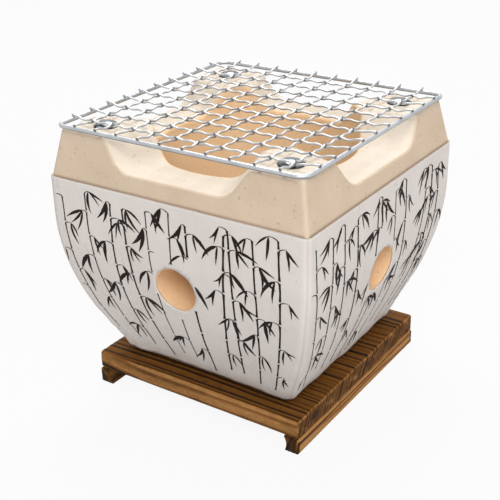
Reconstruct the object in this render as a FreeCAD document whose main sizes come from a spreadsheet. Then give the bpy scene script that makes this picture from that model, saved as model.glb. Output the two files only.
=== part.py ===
"""Square tabletop charcoal grill: clay fire body in a paper wrap, crimped wire net, wooden base.

Millimetres. Z is up and the origin lies on the table under the middle of the base. The grain of
the board runs along X, and the two cleats under it run along Y.
"""
import FreeCAD
import Part
import Sketcher
import math
import os

# Driving dimensions: alias, value (millimetres, or a plain count or share) and meaning
SIZES = (
    ("board_margin", 13.6, "how far the board reaches past the side of the body's foot"),
    ("board_thick", 11.0, "thickness of the board"),
    ("board_round", 1.8, "rounding of the board's edges"),
    ("cleat_width", 9.0, "width of a cleat under the board"),
    ("cleat_cove", 9.0, "radius of the shallow cove along a cleat's inner side"),
    ("cleat_waist", 1.4, "depth of a cleat's cove"),
    ("cove_level_share", 0.41, "height of the cove's deepest line, as a share of the cleat's height"),
    ("cleat_height", 8.8, "height of a cleat"),
    ("cleat_round", 0.8, "rounding of a cleat's outer edges"),
    ("nail_shank", 1.8, "diameter of a nail"),
    ("nail_head", 3.2, "diameter of a nail's head"),
    ("nail_head_thick", 0.8, "thickness of a nail's head"),
    ("nail_sink", 0.3, "depth of a nail's head below the cleat's face"),
    ("nail_length", 16.0, "length of a nail with its head"),
    ("nail_point", 2.0, "length of a nail's point"),
    ("nail_setback", 18.0, "distance of a nail from the cleat's end"),
    ("nail_fit", 0.05, "clearance round a nail"),
    ("body_height", 133.0, "height of the clay body"),
    ("body_wide_half", 78.0, "half width of the body where it is widest"),
    ("band_shoulder", 0.4, "step from the widest place back to the sloping band"),
    ("band_lean", 5.0, "how far the sloping band leans in up to the rim"),
    ("band_height", 24.0, "height of the sloping band"),
    ("upright_height", 22.0, "height of the upright strip below the band"),
    ("bulge_share", 1.7241, "radius of the bulge, as a share of the height below the upright strip"),
    ("foot_slope_share", 0.47, "run of the straight lower side for each unit of its rise"),
    ("corner_top_round", 2.2, "plan radius of the body's corners at the band"),
    ("corner_foot_round", 4.5, "plan radius of the body's corners at the foot"),
    ("foot_round", 3.0, "rounding of the clay under the paper's lower edge"),
    ("rim_width", 17.1, "width of the rim from the bowl to the middle of a side"),
    ("bowl_taper", 4.5, "how much the fire bowl's radius shrinks down to the grate's ledge"),
    ("ledge_level", 74.0, "height of the grate's ledge above the body's foot"),
    ("ledge_width", 9.0, "width of the grate's ledge"),
    ("pit_floor", 23.0, "thickness of the clay under the ash pit"),
    ("pit_round", 9.0, "rounding at the bottom of the ash pit"),
    ("vent_dia", 24.0, "diameter of an air vent"),
    ("vent_level", 61.5, "height of the vents above the body's foot"),
    ("scallop_depth", 15.2, "depth of a scalloped gap in the rim"),
    ("scallop_outer_share", 0.436, "half width of a gap's floor at the outer face, as a share of its reach"),
    ("scallop_inner_share", 0.46, "half width of a gap's floor at the bowl, as a share of the bowl's radius"),
    ("scallop_floor_round", 15.0, "rounding between a gap's floor and its flanks"),
    ("scallop_top_share", 0.1081, "rounding over a gap's flanks, as a share of the bowl's radius"),
    ("scallop_run_share", 0.8, "run of a gap's flank for each unit of its rise"),
    ("scallop_end_share", 0.55, "end of a gap's cut inside the bowl, as a share of its radius"),
    ("rim_outer_round", 1.5, "rounding of the rim's outer edge"),
    ("rim_inner_round", 2.2, "rounding of the rim's inner edge"),
    ("paper_thick", 0.3, "thickness of the paper wrap"),
    ("glue_line", 0.12, "thickness of the paste between clay and paper"),
    ("paper_lift", 2.0, "height of the paper's lower edge above the body's foot"),
    ("paper_trim", 0.5, "how far the paper is cut back round a vent"),
    ("stud_dia", 13.5, "diameter of a stud's dome"),
    ("stud_dome", 2.95, "height of a stud's dome"),
    ("stud_edge", 0.4, "height of the upright edge of a stud's dome"),
    ("stud_shank", 3.0, "diameter of a stud's shank"),
    ("stud_length", 16.0, "length of a stud's shank"),
    ("stud_point", 4.0, "length of the point of a stud's shank"),
    ("stud_fit", 0.05, "clearance round a stud's shank"),
    ("stud_inset", 16.6, "distance of a stud from the rim's outer edges"),
    ("frame_overhang", 2.4, "how far the net's square frame reaches past the rim"),
    ("frame_wire", 2.4, "diameter of the frame's wire"),
    ("frame_bend", 5.5, "bend radius of the frame's corners, at the wire's middle"),
    ("frame_rise", 2.4, "height of the frame's middle above the rim"),
    ("net_rise", 0.6, "height of the net's middle above the frame's middle"),
    ("wire_dia", 1.15, "diameter of a net wire"),
    ("wire_count", 10, "number of wires each way"),
    ("wire_edge_share", 0.944, "distance from an outer wire to the frame, as a share of the pitch"),
    ("waves_per_pitch", 3, "half waves of the crimp in one pitch, an odd count"),
    ("crimp_share", 0.4, "height of the waves between crossings, as a share of those at a crossing"),
    ("weave_gap", 0.1, "gap between two wires where they cross"),
    ("weld_gap", 0.03, "gap between a wire's end and the frame below it"),
    ("wire_tail", 0.7, "length of a wire past the middle of the frame"),
    ("grate_thick", 3.0, "thickness of the fire grate"),
    ("grate_fit", 1.0, "clearance between the grate and the bowl"),
    ("grate_rim", 11.0, "width of the grate's plain rim, to the middle of the outer holes"),
    ("grate_hole", 7.0, "diameter of a hole in the grate"),
    ("grate_rings", 3, "number of rings of holes in the grate"),
    ("grate_ring_step", 6, "holes that each ring has more than the last"),
    ("grate_round", 0.8, "rounding of the grate's outer edges"),
    ("overrun", 2.0, "how far a cut runs past the clay or wood"),
)
VALUES = {alias: value for alias, value, meaning in SIZES}

# Lengths this close count as equal, in millimetres, and volumes by these shares
NEAR = 0.001
SAME_SHARE = 1e-9
PIPE_SHARE = 1e-3

SIDES = (-1, 1)
CORNER_COUNT = 4
QUARTER_TURN = 90.0
FULL_TURN = 360.0
X_AXIS = FreeCAD.Vector(1, 0, 0)
Y_AXIS = FreeCAD.Vector(0, 1, 0)
Z_AXIS = FreeCAD.Vector(0, 0, 1)

doc = FreeCAD.newDocument("tabletop_grill")
sheet = doc.addObject("Spreadsheet::Sheet", "dims")
for row, (alias, value, meaning) in enumerate(SIZES, start=1):
    sheet.set(f"A{row}", meaning)
    sheet.set(f"B{row}", str(value))
    sheet.setAlias(f"B{row}", alias)
doc.recompute()


class Size:
    """A size of the sheet, or one worked out from several, with its value and its formula."""

    def __init__(self, value, formula):
        self.value = value
        self.formula = formula

    def __add__(self, other):
        other = as_size(other)
        return Size(self.value + other.value, f"({self.formula} + {other.formula})")

    def __sub__(self, other):
        other = as_size(other)
        return Size(self.value - other.value, f"({self.formula} - {other.formula})")

    def __mul__(self, other):
        other = as_size(other)
        return Size(self.value * other.value, f"({self.formula} * {other.formula})")

    def __truediv__(self, other):
        other = as_size(other)
        return Size(self.value / other.value, f"({self.formula} / {other.formula})")

    def __neg__(self):
        return Size(-self.value, f"(0 - {self.formula})")

    def root(self):
        return Size(math.sqrt(self.value), f"sqrt({self.formula})")


def as_size(item):
    """A plain number as a size; a size as it is."""
    return item if isinstance(item, Size) else Size(float(item), repr(float(item)))


class Dims:
    """The sheet's sizes by name, as formulas that the features follow."""

    def __getattr__(self, alias):
        return Size(VALUES[alias], f"dims.{alias}")


d = Dims()

# Levels and places that several pieces share
foot_level = d.cleat_height + d.board_thick
rim_level = foot_level + d.body_height
wide_level = rim_level - d.band_height
upright_level = wide_level - d.upright_height
ledge_level = foot_level + d.ledge_level
vent_level = foot_level + d.vent_level
frame_level = rim_level + d.frame_rise
bulge_radius = (upright_level - foot_level) * d.bulge_share
foot_slant = (d.foot_slope_share * d.foot_slope_share + 1).root()


def bend_place(skin):
    """Half width and height where the straight foot runs into the bulge, a skin outside the clay."""
    radius = bulge_radius + skin
    across = d.body_wide_half - bulge_radius + radius / foot_slant
    return across, upright_level - radius * d.foot_slope_share / foot_slant


def foot_half(skin, low):
    """Half width of the straight foot at a height, a skin outside the clay."""
    across, height = bend_place(skin)
    return across - d.foot_slope_share * (height - low)


board_half = foot_half(as_size(0), foot_level) + d.board_margin
band_half = d.body_wide_half - d.band_shoulder
top_half = band_half - d.band_lean
bore_top = top_half - d.rim_width
bore_ledge = bore_top - d.bowl_taper
pit_radius = bore_ledge - d.ledge_width
stud_offset = top_half - d.stud_inset
frame_half = top_half + d.frame_overhang - d.frame_wire / 2


def bind(thing, prop, size):
    """Tie a property to the sheet."""
    thing.setExpression(prop, as_size(size).formula)


def check(thing, before=None):
    """Recompute, and stop if the feature failed or left the volume as it was."""
    doc.recompute()
    if thing.Shape.isNull() or not thing.Shape.isValid():
        raise RuntimeError(f"{thing.Label} has no valid shape: {thing.State}")
    if before is not None and math.isclose(thing.Shape.Volume, before, rel_tol=SAME_SHARE):
        raise RuntimeError(f"{thing.Label} changed nothing")
    return thing


def new_sketch(body, role, name, lift=0):
    """A sketch on one of the body's own planes, raised along the plane's normal."""
    sketch = body.newObject("Sketcher::SketchObject", name)
    plane = next(item for item in body.Origin.OriginFeatures if item.Role == role)
    sketch.AttachmentSupport = [(plane, "")]
    sketch.MapMode = "FlatFace"
    bind(sketch, "AttachmentOffset.Base.z", lift)
    return sketch


def constrain(sketch, size, kind, *where):
    """Add one dimension that follows the sheet."""
    index = sketch.addConstraint(Sketcher.Constraint(kind, *where, size.value))
    sketch.setExpression(f"Constraints[{index}]", size.formula)


def pin(sketch, edge, point, across, along):
    """Place one point of an edge from the sketch's origin."""
    constrain(sketch, as_size(across), "DistanceX", -1, 1, edge, point)
    constrain(sketch, as_size(along), "DistanceY", -1, 1, edge, point)


def circle(sketch, across, along, radius):
    """A dimensioned circle."""
    middle = FreeCAD.Vector(as_size(across).value, as_size(along).value, 0)
    edge = sketch.addGeometry(Part.Circle(middle, Z_AXIS, radius.value))
    pin(sketch, edge, 3, across, along)
    constrain(sketch, radius, "Radius", edge)


def arc_between(start, end, radius):
    """The shorter arc of a radius from one point to the next, turning left."""
    chord = end - start
    half = chord.Length / 2
    away = math.sqrt(max(radius * radius - half * half, 0))
    middle = (start + end) / 2 + Z_AXIS.cross(chord).normalize() * away
    low = math.atan2(start.y - middle.y, start.x - middle.x)
    high = math.atan2(end.y - middle.y, end.x - middle.x)
    if high < low:
        high += 2 * math.pi
    return Part.ArcOfCircle(Part.Circle(middle, Z_AXIS, radius), low, high)


def outline(sketch, corners):
    """A closed chain of lines and arcs, anticlockwise.

    A corner is (across, along), or (across, along, radius) where an arc goes to the next.
    """
    points = [FreeCAD.Vector(as_size(c[0]).value, as_size(c[1]).value, 0) for c in corners]
    edges = []
    for index, corner in enumerate(corners):
        start = points[index]
        end = points[(index + 1) % len(points)]
        if len(corner) == 2:
            edges.append(sketch.addGeometry(Part.LineSegment(start, end)))
        else:
            edges.append(sketch.addGeometry(arc_between(start, end, corner[2].value)))
    for index, edge in enumerate(edges):
        following = edges[(index + 1) % len(edges)]
        sketch.addConstraint(Sketcher.Constraint("Coincident", edge, 2, following, 1))
        pin(sketch, edge, 1, *corners[index][:2])
        if len(corners[index]) > 2:
            constrain(sketch, corners[index][2], "Radius", edge)


def rectangle(sketch, left, right, low, high):
    """A dimensioned rectangle."""
    outline(sketch, [(left, low), (right, low), (right, high), (left, high)])


def rounded_square(half, radius):
    """Corners of a square with round corners about the sketch's origin."""
    flat = half - radius
    return [
        (half, flat, radius), (flat, half), (-flat, half, radius), (-half, flat),
        (-half, -flat, radius), (-flat, -half), (flat, -half, radius), (half, -flat),
    ]


def pad(body, sketch, name, length, both_ways=False):
    """A pad along the sketch's normal, or half each way."""
    feature = body.newObject("PartDesign::Pad", name)
    feature.Profile = sketch
    feature.SideType = "Symmetric" if both_ways else "One side"
    bind(feature, "Length", length)
    return check(feature)


def pocket(body, sketch, name, length=None, upwards=False):
    """A pocket of a length, or right through both ways."""
    before = body.Shape.Volume
    feature = body.newObject("PartDesign::Pocket", name)
    feature.Profile = sketch
    feature.Reversed = upwards
    if length is None:
        feature.Type = "ThroughAll"
        feature.SideType = "Symmetric"
    else:
        bind(feature, "Length", length)
    return check(feature, before)


def revolve(body, sketch, name, kind):
    """A full turn of the sketch about its upright axis."""
    before = body.Shape.Volume if kind == "Groove" else None
    feature = body.newObject(f"PartDesign::{kind}", name)
    feature.Profile = sketch
    feature.ReferenceAxis = (sketch, ["V_Axis"])
    feature.Angle = FULL_TURN
    return check(feature, before)


def turn_copies(body, feature, name, count):
    """Copies of a feature at equal steps round Z."""
    before = body.Shape.Volume
    axis = next(item for item in body.Origin.OriginFeatures if item.Role == "Z_Axis")
    pattern = body.newObject("PartDesign::PolarPattern", name)
    pattern.Originals = [feature]
    pattern.Axis = (axis, [""])
    pattern.Angle = FULL_TURN
    bind(pattern, "Occurrences", count)
    body.Tip = pattern
    return check(pattern, before)


def round_edges(body, feature, name, radius, chosen):
    """Round the edges of a feature that a test chooses."""
    names = [f"Edge{i}" for i, edge in enumerate(feature.Shape.Edges, start=1) if chosen(edge)]
    before = body.Shape.Volume
    fillet = body.newObject("PartDesign::Fillet", name)
    fillet.Base = (feature, names)
    bind(fillet, "Radius", radius)
    return check(fillet, before)


def new_body(name):
    """An empty body."""
    return doc.addObject("PartDesign::Body", name)


def place(thing, across, along, up):
    """Tie a piece's place to the sheet."""
    for axis, size in (("x", across), ("y", along), ("z", up)):
        bind(thing, f"Placement.Base.{axis}", size)


def level(edge, height):
    """Whether an edge lies at one height."""
    return all(math.isclose(v.Z, height.value, abs_tol=NEAR) for v in edge.Vertexes)


def lowest(shape):
    """Height of the lowest point of an edge or a face."""
    return shape.optimalBoundingBox().ZMin


def stands_on(face, height):
    """Whether a face rises from one height."""
    low = lowest(face)
    high = face.optimalBoundingBox().ZMax
    return math.isclose(low, height.value, abs_tol=NEAR) and high > height.value + d.overrun.value


NODES = {}


def keep(name, thing):
    """Count a finished sub-part under its node's name."""
    thing.Label = name
    NODES[name] = thing


# Wooden base
nail_along = board_half - d.nail_setback
nail_across = board_half - (d.cleat_width - d.cleat_waist) / 2
NAIL_PLACES = [(side, end) for side in SIDES for end in SIDES]


def nail_holes(sketch, radius, places):
    """One circle for each nail."""
    for side, end in places:
        circle(sketch, nail_across * side, nail_along * end, radius)


def make_board():
    """Square board with eased edges and four blind nail holes below."""
    body = new_body("base_board")
    shape = new_sketch(body, "XY_Plane", "board_plan", d.cleat_height)
    rectangle(shape, -board_half, board_half, -board_half, board_half)
    slab = pad(body, shape, "board_slab", d.board_thick)
    round_edges(body, slab, "board_edges", d.board_round, lambda edge: True)
    holes = new_sketch(body, "XY_Plane", "board_nail_plan", d.cleat_height)
    nail_holes(holes, d.nail_shank / 2 + d.nail_fit, NAIL_PLACES)
    depth = d.nail_length + d.nail_sink - d.cleat_height + d.nail_fit
    pocket(body, holes, "board_nail_holes", depth, upwards=True)
    keep("base_board", body)


def make_cleat(name, side):
    """Bar with a shallow cove, under one edge of the board, drilled and recessed for two nails."""
    body = new_body(name)
    plan = new_sketch(body, "XY_Plane", f"{name}_plan")
    outer = board_half * side
    inner = (board_half - d.cleat_width) * side
    rectangle(plan, inner, outer, -board_half, board_half)
    pad(body, plan, f"{name}_bar", d.cleat_height)
    cove = new_sketch(body, "XZ_Plane", f"{name}_cove_plan")
    middle = inner - (d.cleat_cove - d.cleat_waist) * side
    circle(cove, middle, d.cleat_height * d.cove_level_share, d.cleat_cove)
    coved = pocket(body, cove, f"{name}_cove")

    def outer_edge(edge):
        box = edge.BoundBox
        return box.ZLength < NEAR and all(abs(v.X - outer.value) < NEAR for v in edge.Vertexes)

    round_edges(body, coved, f"{name}_edges", d.cleat_round, outer_edge)
    places = [spot for spot in NAIL_PLACES if spot[0] == side]
    shanks = new_sketch(body, "XY_Plane", f"{name}_shank_plan")
    nail_holes(shanks, d.nail_shank / 2 + d.nail_fit, places)
    pocket(body, shanks, f"{name}_shank_holes", d.cleat_height, upwards=True)
    heads = new_sketch(body, "XY_Plane", f"{name}_head_plan")
    nail_holes(heads, d.nail_head / 2 + d.nail_fit, places)
    pocket(body, heads, f"{name}_head_recesses", d.nail_sink + d.nail_head_thick, upwards=True)
    keep(name, body)


def make_nail(number, side, end):
    """Wire nail, head down, driven up through a cleat into the board."""
    body = new_body(f"base_nail_{number}")
    half = new_sketch(body, "XZ_Plane", f"nail_half_{number}")
    outline(half, [
        (0, 0), (d.nail_head / 2, 0), (d.nail_head / 2, d.nail_head_thick),
        (d.nail_shank / 2, d.nail_head_thick), (d.nail_shank / 2, d.nail_length - d.nail_point),
        (0, d.nail_length),
    ])
    revolve(body, half, f"nail_turned_{number}", "Revolution")
    place(body, nail_across * side, nail_along * end, d.nail_sink)
    keep(f"base_nail_{number}", body)


# Clay fire body and its paper
def side_profile(sketch, skin, low, high):
    """Side view of the body, a skin's thickness outside the clay: straight foot, bulge, upright strip."""
    radius = bulge_radius + skin
    bend, bend_level = bend_place(skin)
    foot = foot_half(skin, low)
    side = d.body_wide_half + skin
    outline(sketch, [
        (-foot, low), (foot, low), (bend, bend_level, radius), (side, upright_level), (side, high),
        (-side, high), (-side, upright_level, radius), (-bend, bend_level),
    ])


def corner_round(height, skin):
    """Plan radius of a corner at a height: small on the upright strip, growing towards the foot."""
    share = max(upright_level.value - height, 0) / (upright_level.value - foot_level.value)
    growth = d.corner_foot_round.value - d.corner_top_round.value
    return d.corner_top_round.value + growth * share + skin.value


def bulged_form(name, skin, low, high):
    """Square body with the bulged profile on all four sides and corners that soften to the foot."""
    body = new_body(f"{name}_mitred")
    reach = d.body_wide_half + skin + d.overrun
    front = new_sketch(body, "XZ_Plane", f"{name}_front")
    side_profile(front, skin, low, high)
    pad(body, front, f"{name}_bulge", reach * 2, both_ways=True)
    cheek = new_sketch(body, "YZ_Plane", f"{name}_cheek")
    side_profile(cheek, skin, low, high)
    past = reach + d.overrun
    rectangle(cheek, -past, past, low - d.overrun, high + d.overrun)
    mitred = pocket(body, cheek, f"{name}_cheeks")
    corners = []
    for index, edge in enumerate(mitred.Shape.Edges, start=1):
        ends = [edge.valueAt(edge.FirstParameter), edge.valueAt(edge.LastParameter)]
        mitre = all(math.isclose(abs(p.x), abs(p.y), abs_tol=NEAR) for p in ends)
        if mitre and not math.isclose(ends[0].z, ends[1].z, abs_tol=NEAR):
            corners.append((index, corner_round(ends[0].z, skin), corner_round(ends[1].z, skin)))
    softened = doc.addObject("Part::Fillet", name)
    softened.Base = body
    softened.Edges = corners
    return check(softened)


def make_band():
    """Sloping band from the widest place up to the rim."""
    body = new_body("rim_band")
    wide = new_sketch(body, "XY_Plane", "band_wide", wide_level)
    outline(wide, rounded_square(band_half, d.corner_top_round))
    top = new_sketch(body, "XY_Plane", "band_top", rim_level)
    outline(top, rounded_square(top_half, d.corner_top_round))
    loft = body.newObject("PartDesign::AdditiveLoft", "band_slope")
    loft.Profile = wide
    loft.Sections = [top]
    loft.Ruled = True
    check(loft)
    return body


def bowl_outline(sketch):
    """Half section of the fire bowl, its ledge and the ash pit."""
    wall_slope = (bore_top - bore_ledge) / (rim_level - ledge_level)
    floor = foot_level + d.pit_floor
    outline(sketch, [
        (0, floor), (pit_radius - d.pit_round, floor, d.pit_round),
        (pit_radius, floor + d.pit_round), (pit_radius, ledge_level), (bore_ledge, ledge_level),
        (bore_top + wall_slope * d.overrun, rim_level + d.overrun), (0, rim_level + d.overrun),
    ])


def scallop_outline(sketch, away):
    """Section of a rim gap at a distance from the middle: flat floor, round corners, open flanks."""
    face = top_half + d.band_lean / d.band_height * d.scallop_depth
    outer_half = face * d.scallop_outer_share
    narrowing = (outer_half - bore_top * d.scallop_inner_share) / (face - bore_top)
    half = outer_half - narrowing * (face - away)
    floor = rim_level - d.scallop_depth
    climb = d.scallop_depth + d.overrun
    slant = (d.scallop_run_share * d.scallop_run_share + 1).root()
    tangent = d.scallop_floor_round / (slant + d.scallop_run_share)
    bend = (half + tangent * d.scallop_run_share / slant, floor + tangent / slant)
    top = (half + d.scallop_run_share * climb, floor + climb)
    outline(sketch, [
        (-(half - tangent), floor), (half - tangent, floor, d.scallop_floor_round), bend, top,
        (-top[0], top[1]), (-bend[0], bend[1], d.scallop_floor_round),
    ])


def make_clay(form):
    """Fire body: bowl with ledge and ash pit, four vents, four rim gaps and stud holes."""
    body = new_body("clay_body")
    body.BaseFeature = form
    doc.recompute()
    bowl = new_sketch(body, "XZ_Plane", "bowl_half")
    bowl_outline(bowl)
    revolve(body, bowl, "bowl", "Groove")
    for role in ("XZ_Plane", "YZ_Plane"):
        vent = new_sketch(body, role, f"vent_{role[:2]}")
        circle(vent, 0, vent_level, d.vent_dia / 2)
        pocket(body, vent, f"vents_{role[:2]}")
    before = body.Shape.Volume
    outer_away = d.body_wide_half + d.overrun
    inner_away = bore_top * d.scallop_end_share
    outer = new_sketch(body, "XZ_Plane", "scallop_outer", outer_away)
    scallop_outline(outer, outer_away)
    inner = new_sketch(body, "XZ_Plane", "scallop_inner", inner_away)
    scallop_outline(inner, inner_away)
    scallop = body.newObject("PartDesign::SubtractiveLoft", "scallop")
    scallop.Profile = outer
    scallop.Sections = [inner]
    scallop.Ruled = True
    check(scallop, before)
    scallops = turn_copies(body, scallop, "scallops", CORNER_COUNT)

    def flank_top(edge):
        return (
            level(edge, rim_level)
            and edge.Curve.TypeId != "Part::GeomCircle"
            and min(edge.BoundBox.XLength, edge.BoundBox.YLength) > d.overrun.value
        )

    def rim_edge(feature, foot):
        def chosen(edge):
            faces = feature.Shape.ancestorsOfType(edge, Part.Face)
            walls = [face for face in faces if stands_on(face, foot)]
            return len(walls) == 1 and lowest(edge) > foot.value + d.overrun.value
        return chosen

    tops = round_edges(body, scallops, "flank_tops", bore_top * d.scallop_top_share, flank_top)
    outer_rim = round_edges(body, tops, "rim_outside", d.rim_outer_round, rim_edge(tops, wide_level))
    round_edges(body, outer_rim, "rim_inside", d.rim_inner_round, rim_edge(outer_rim, ledge_level))
    softened = body.Tip
    round_edges(body, softened, "foot_edge", d.foot_round, lambda edge: level(edge, foot_level))
    studs = new_sketch(body, "XY_Plane", "stud_plan", rim_level)
    for side in SIDES:
        for end in SIDES:
            circle(studs, stud_offset * side, stud_offset * end, d.stud_shank / 2 + d.stud_fit)
    pocket(body, studs, "stud_holes", d.stud_length + d.stud_fit)
    keep("clay_body", body)


def make_paper():
    """Paper skin round the bulge, from the foot to the widest place, open at the vents."""
    hem = foot_level + d.paper_lift
    outside = bulged_form("paper_outside", d.glue_line + d.paper_thick, hem, wide_level)
    inside = bulged_form("paper_inside", d.glue_line, hem - d.overrun, wide_level + d.overrun)
    skin = doc.addObject("Part::Cut", "paper_skin")
    skin.Base = outside
    skin.Tool = inside
    check(skin)
    reach = d.body_wide_half + d.overrun
    for name, letter, axis in (("along_x", "x", Y_AXIS), ("along_y", "y", -X_AXIS)):
        drill = doc.addObject("Part::Cylinder", f"vent_drill_{name}")
        bind(drill, "Radius", d.vent_dia / 2 + d.paper_trim)
        bind(drill, "Height", reach * 2)
        drill.Placement.Rotation = FreeCAD.Rotation(axis, QUARTER_TURN)
        bind(drill, f"Placement.Base.{letter}", -reach)
        bind(drill, "Placement.Base.z", vent_level)
        opened = doc.addObject("Part::Cut", f"paper_{name}")
        opened.Base = skin
        opened.Tool = drill
        skin = check(opened, skin.Shape.Volume)
    keep("paper_wrap", skin)


def make_stud(number, side, end):
    """Domed steel stud on a corner post, with a pointed shank in the clay."""
    body = new_body(f"rim_stud_{number}")
    half = new_sketch(body, "XZ_Plane", f"stud_half_{number}")
    radius = d.stud_dia / 2
    crown = d.stud_dome - d.stud_edge
    dome = (radius * radius + crown * crown) / (crown * 2)
    shank = d.stud_shank / 2
    outline(half, [
        (0, -d.stud_length), (shank, d.stud_point - d.stud_length), (shank, 0), (radius, 0),
        (radius, d.stud_edge, dome), (0, d.stud_dome),
    ])
    revolve(body, half, f"stud_turned_{number}", "Revolution")
    place(body, stud_offset * side, stud_offset * end, rim_level)
    keep(f"rim_stud_{number}", body)


# Wire net
wire_spans = d.wire_count - 1 + d.wire_edge_share * 2
wire_pitch = frame_half * 2 / wire_spans


def make_frame():
    """Square of thick wire with bent corners."""
    body = new_body("net_frame")
    path = new_sketch(body, "XY_Plane", "frame_path", frame_level)
    outline(path, [(frame_half, 0)] + rounded_square(frame_half, d.frame_bend))
    section = new_sketch(body, "XZ_Plane", "frame_section")
    circle(section, frame_half, frame_level, d.frame_wire / 2)
    pipe = body.newObject("PartDesign::AdditivePipe", "frame_pipe")
    pipe.Profile = section
    pipe.Spine = path
    check(pipe)
    keep("net_frame", body)


def wave_half(start, end):
    """Two equal arcs from one level stretch of a wire to the next, in the plane of its crimp."""
    run = (end[0] - start[0]) / 2
    rise = (end[1] - start[1]) / 2
    if math.isclose(rise, 0, abs_tol=NEAR):
        return [Part.LineSegment(FreeCAD.Vector(start[0], 0, start[1]), FreeCAD.Vector(end[0], 0, end[1]))]
    radius = (run * run + rise * rise) / (2 * abs(rise))
    half_turn = math.atan2(abs(rise), run)
    along = radius * math.sin(half_turn)
    up = math.copysign(radius * (1 - math.cos(half_turn)), rise)
    first = FreeCAD.Vector(start[0], 0, start[1])
    middle = FreeCAD.Vector(start[0] + run, 0, start[1] + rise)
    last = FreeCAD.Vector(end[0], 0, end[1])
    return [
        Part.Arc(first, FreeCAD.Vector(start[0] + along, 0, start[1] + up), middle),
        Part.Arc(middle, FreeCAD.Vector(end[0] - along, 0, end[1] - up), last),
    ]


def crimped_wire():
    """One wire along X: half waves between the crossings, ends that climb onto the frame."""
    lift = sheet.wire_dia / 2 + sheet.weave_gap / 2
    seat = sheet.frame_wire / 2 + sheet.wire_dia / 2 + sheet.weld_gap - sheet.net_rise
    crossings = int(sheet.wire_count)
    waves_per_pitch = int(sheet.waves_per_pitch)
    step = wire_pitch.value / waves_per_pitch
    waves = (crossings - 1) * waves_per_pitch
    first = -(crossings - 1) * wire_pitch.value / 2
    frame_middle = frame_half.value
    landing = frame_middle - sheet.frame_wire / 2
    end = frame_middle + sheet.wire_tail
    points = [(-end, seat), (-landing, seat)]
    for wave in range(-1, waves + 2):
        height = lift if wave % 2 == 0 else -lift
        if wave % waves_per_pitch:
            height *= sheet.crimp_share
        points.append((first + wave * step, height))
    points += [(landing, seat), (end, seat)]
    curves = [curve for pair in zip(points, points[1:]) for curve in wave_half(*pair)]
    path = Part.Wire([curve.toShape() for curve in curves])
    ring = Part.Circle(FreeCAD.Vector(-end, 0, seat), X_AXIS, sheet.wire_dia / 2)
    wire = path.makePipeShell([Part.Wire(ring.toShape())], True, False)
    expected = path.Length * math.pi * sheet.wire_dia ** 2 / 4
    if not math.isclose(wire.Volume, expected, rel_tol=PIPE_SHARE):
        raise RuntimeError(f"crimped wire holds {wire.Volume}, not {expected}")
    return wire


def make_wires():
    """Both layers of wires, each over one neighbour and under the next."""
    shape = crimped_wire()
    count = int(sheet.wire_count)
    height = frame_level.value + sheet.net_rise
    for letter, quarter in (("x", 0), ("y", 1)):
        for index in range(count):
            offset = (index - (count - 1) / 2) * wire_pitch.value
            turned = (index + quarter) % 2
            wire = doc.addObject("Part::Feature", f"net_wire_{letter}_{index + 1:02d}")
            wire.Shape = shape
            spot = FreeCAD.Vector(offset, 0, height) if quarter else FreeCAD.Vector(0, offset, height)
            wire.Placement = FreeCAD.Placement(
                spot, FreeCAD.Rotation(Z_AXIS, QUARTER_TURN * (quarter + 2 * turned))
            )
            keep(f"net_wire_{letter}_{index + 1:02d}", wire)


# Fire grate
def make_grate():
    """Round iron grate on the ledge, with rings of air holes."""
    body = new_body("fire_grate")
    radius = bore_ledge - d.grate_fit
    plan = new_sketch(body, "XY_Plane", "grate_plan", ledge_level)
    circle(plan, 0, 0, radius)
    plate = pad(body, plan, "grate_plate", d.grate_thick)
    round_edges(body, plate, "grate_edges", d.grate_round, lambda edge: len(edge.Vertexes) == 1)
    middle = new_sketch(body, "XY_Plane", "grate_middle_plan", ledge_level)
    circle(middle, 0, 0, d.grate_hole / 2)
    pocket(body, middle, "grate_middle_hole", d.grate_thick, upwards=True)
    ring_pitch = (radius - d.grate_rim) / d.grate_rings
    for ring in range(1, int(sheet.grate_rings) + 1):
        spot = new_sketch(body, "XY_Plane", f"grate_ring_plan_{ring}", ledge_level)
        circle(spot, ring_pitch * ring, 0, d.grate_hole / 2)
        hole = pocket(body, spot, f"grate_ring_hole_{ring}", d.grate_thick, upwards=True)
        turn_copies(body, hole, f"grate_ring_{ring}", d.grate_ring_step * ring)
    keep("fire_grate", body)


make_board()
make_cleat("base_cleat_left", -1)
make_cleat("base_cleat_right", 1)
for number, (side, end) in enumerate(NAIL_PLACES, start=1):
    make_nail(number, side, end)
bulge = bulged_form("clay_bulge", as_size(0), foot_level, wide_level)
form = doc.addObject("Part::Fuse", "clay_form")
form.Base = bulge
form.Tool = make_band()
form.Refine = True
make_clay(check(form))
make_paper()
for number, (side, end) in enumerate(NAIL_PLACES, start=1):
    make_stud(number, side, end)
make_frame()
make_wires()
make_grate()
doc.recompute()

failed = [item.Label for item in doc.Objects if "Invalid" in item.State or "Error" in item.State]
if failed:
    raise RuntimeError(f"failed objects: {failed}")
for name, thing in NODES.items():
    if thing.Shape.isNull() or not thing.Shape.isValid() or len(thing.Shape.Solids) != 1:
        raise RuntimeError(f"{name} is not one valid solid")

os.makedirs("parts", exist_ok=True)
for name, thing in NODES.items():
    thing.Shape.exportStep(f"parts/{name}.step")
    print(f"{name}: {thing.Shape.Volume:.1f} mm3")
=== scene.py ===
"""Dresses the tabletop grill: pasted paper with ink leaves, brushed wooden base, clay and steel net."""
import logging
import math
import random
from dataclasses import dataclass, field
from enum import Enum
from typing import Callable, Sequence

import bmesh
import bpy
from mathutils import Matrix, Vector, noise


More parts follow.
